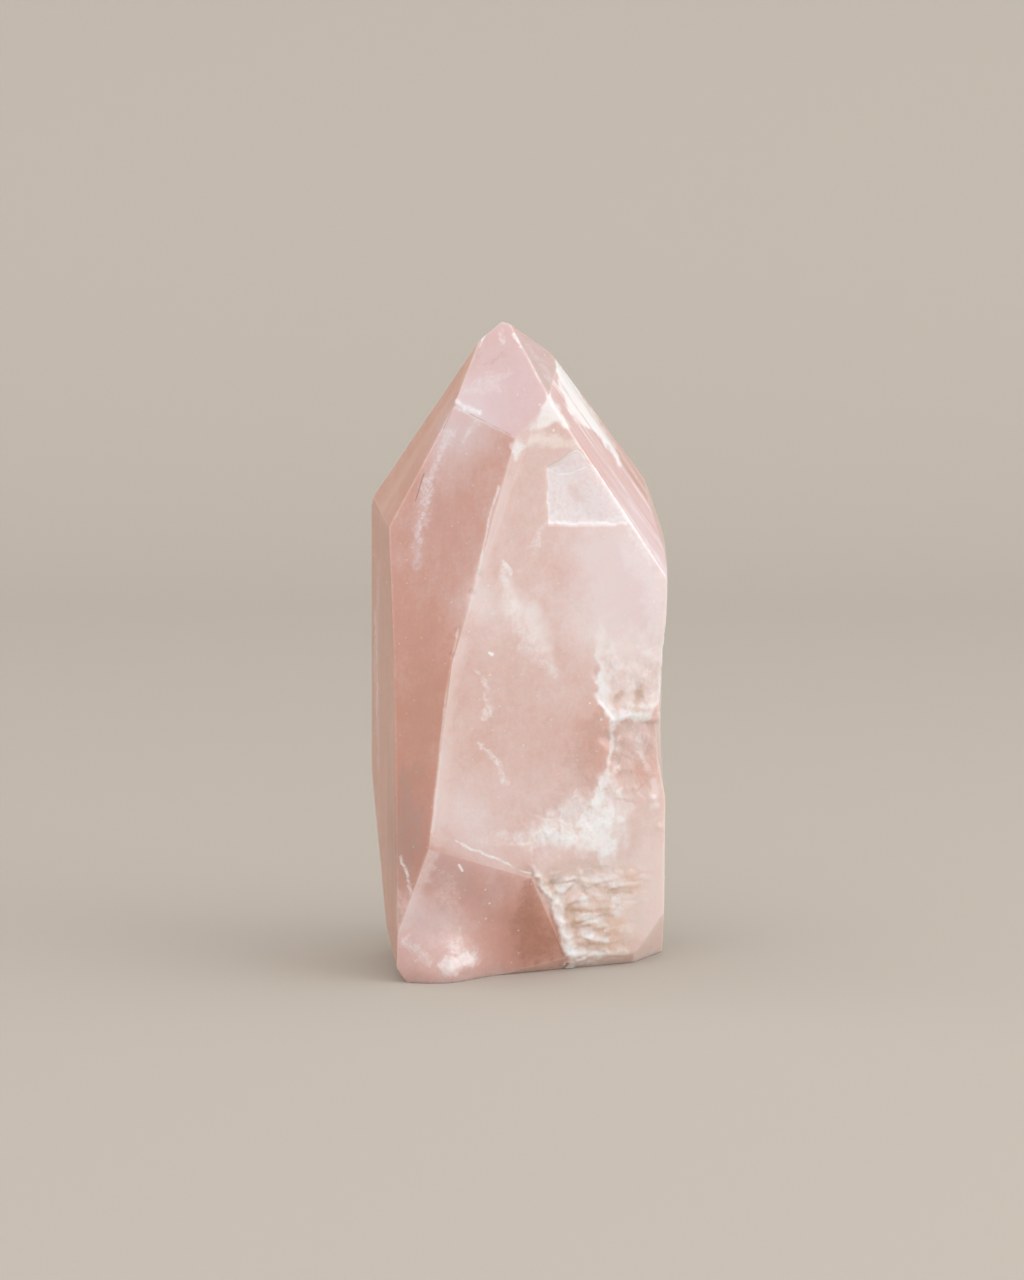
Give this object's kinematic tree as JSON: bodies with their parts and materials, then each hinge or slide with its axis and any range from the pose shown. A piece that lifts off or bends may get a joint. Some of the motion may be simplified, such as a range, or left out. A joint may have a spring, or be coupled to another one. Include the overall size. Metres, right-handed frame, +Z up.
{
  "type": "rose quartz point",
  "caption": "Free-standing rose quartz point: a milky pink stone ground to flat facets that meet in a tip, with natural skin on its lower front, standing on a flat foot as an ornament.",
  "frame": {"origin": "a point on the flat foot that the stone stands on, near the foot's middle and under the tip", "axes": "+Z up the stone toward its tip, +X to the right and -Y toward a viewer who faces its broad front facet"},
  "size_m": [0.0415, 0.0358, 0.0903],
  "materials": {
    "rose_quartz": "polished"
  },
  "bodies": {
    "root": {"rose_quartz_point": "rose_quartz"}
  },
  "joints": []
}
